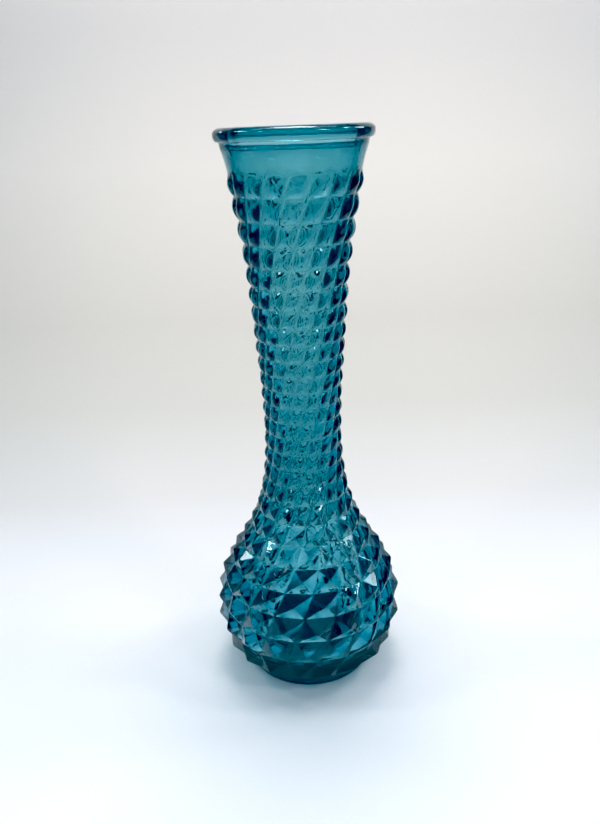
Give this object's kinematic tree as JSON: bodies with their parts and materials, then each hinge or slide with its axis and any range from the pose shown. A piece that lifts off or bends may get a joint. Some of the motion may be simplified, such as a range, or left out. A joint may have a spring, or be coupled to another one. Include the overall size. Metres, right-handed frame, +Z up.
{
  "type": "glass bud vase",
  "caption": "Slim round glass bud vase with a flared neck, a rolled rim and a round bulb, covered in a winding grid of pointed studs.",
  "frame": {"origin": "middle of the foot, on the surface the vase stands on", "axes": "+Z up along the vase's axis; X and Y level, with no marked front"},
  "size_m": [0.085, 0.0854, 0.24],
  "materials": {
    "teal_glass": "gloss"
  },
  "bodies": {
    "root": {"rim_bead": "teal_glass", "mouth_collar": "teal_glass", "studded_neck": "teal_glass", "shoulder": "teal_glass", "bulb": "teal_glass", "foot_ring": "teal_glass", "base_disc": "teal_glass"}
  },
  "joints": []
}
